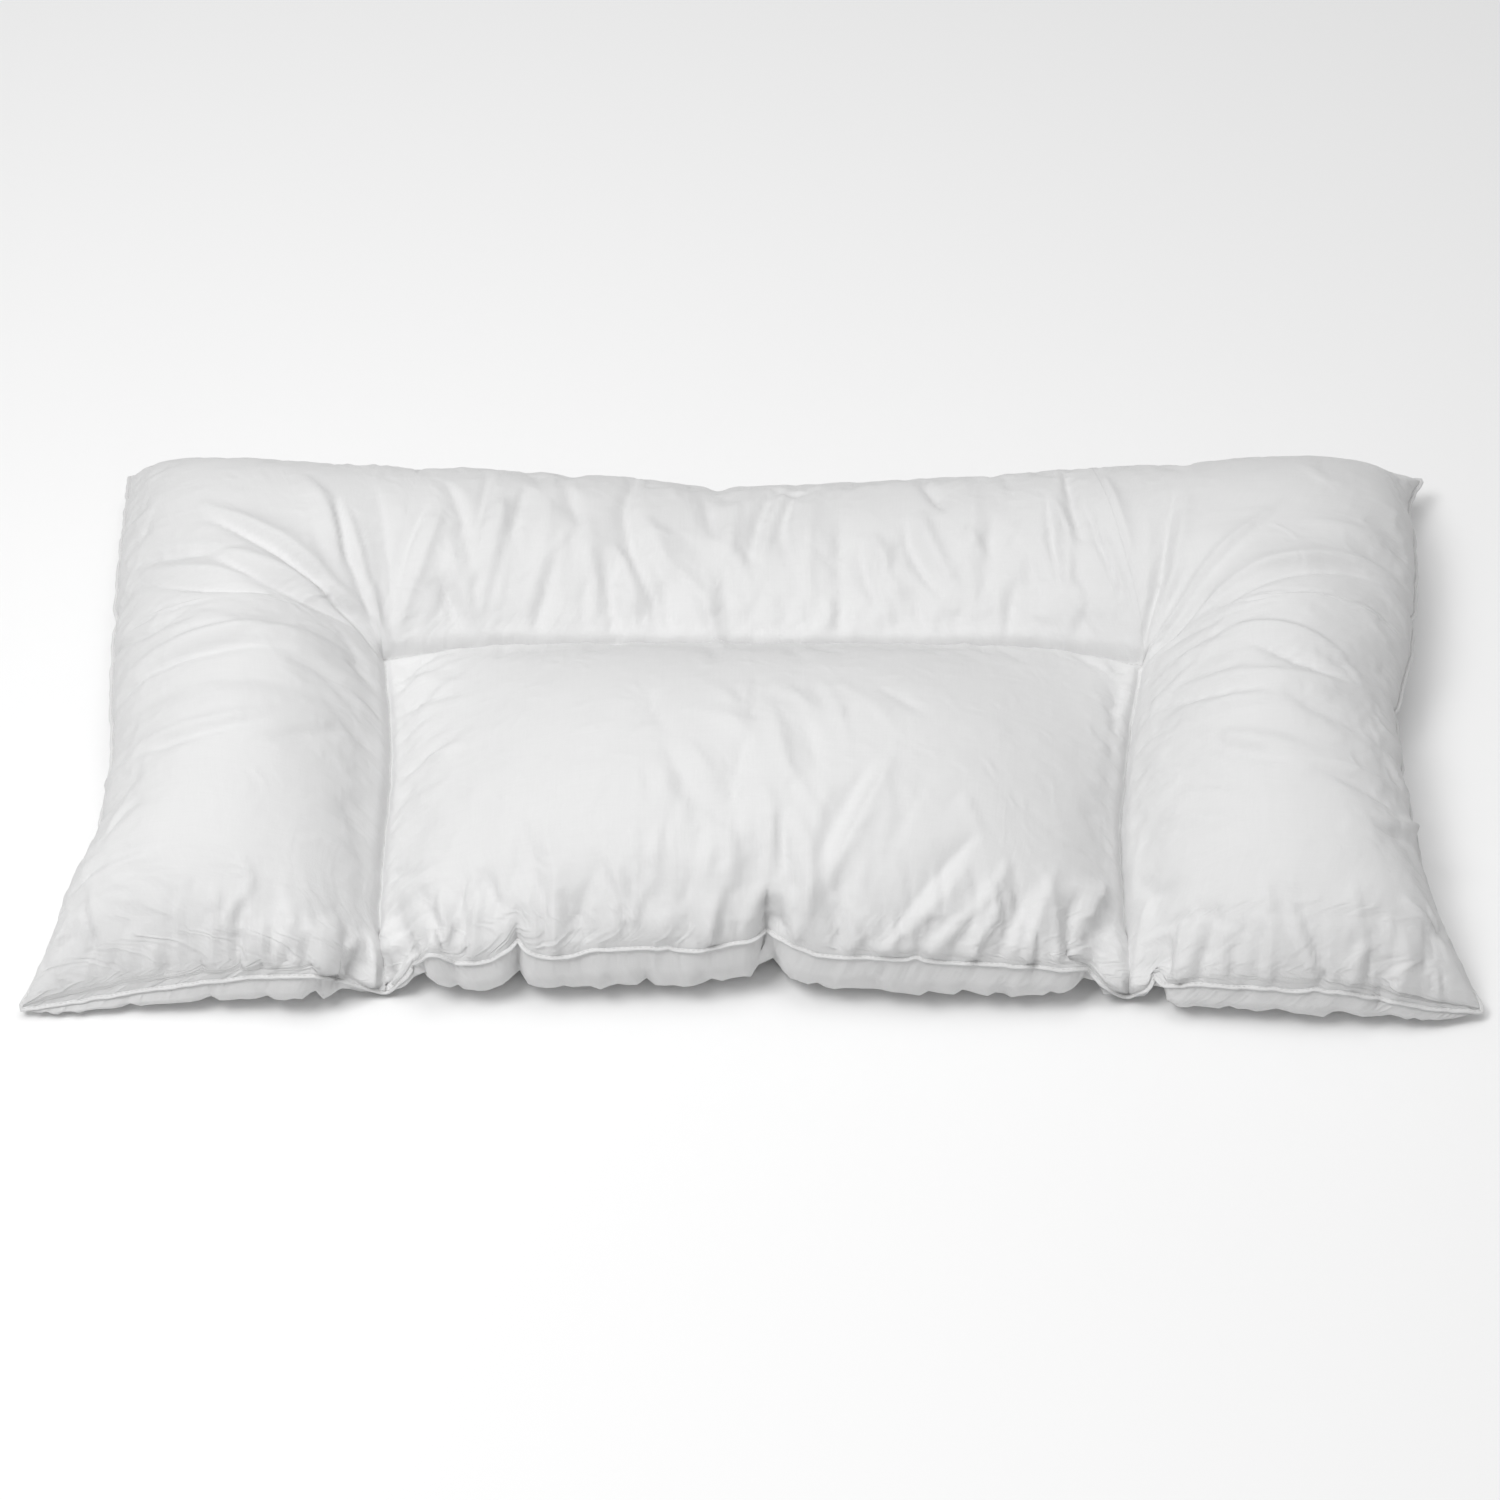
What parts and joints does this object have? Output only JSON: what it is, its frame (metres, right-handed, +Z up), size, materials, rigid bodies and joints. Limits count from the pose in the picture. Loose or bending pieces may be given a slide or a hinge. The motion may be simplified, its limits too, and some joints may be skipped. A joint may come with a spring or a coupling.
{
  "type": "synthetic fiber pillow",
  "caption": "Neck-support pillow: a filled cotton cover sewn through along a U, so that a raised bolster runs round three sides of a centre pad, with piped edges.",
  "frame": {"origin": "on the surface the pillow rests on, under the middle of its box", "axes": "+X across the pillow from its left arm to its right arm, +Y towards its back edge, +Z up"},
  "size_m": [0.7624, 0.3924, 0.0969],
  "materials": {
    "cotton_cover": "matt plain-woven cotton",
    "cotton_piping": "matt cotton, sewn round a thin cord"
  },
  "bodies": {
    "root": {"pillow_body": "cotton_cover", "edge_piping": "cotton_piping"}
  },
  "joints": []
}
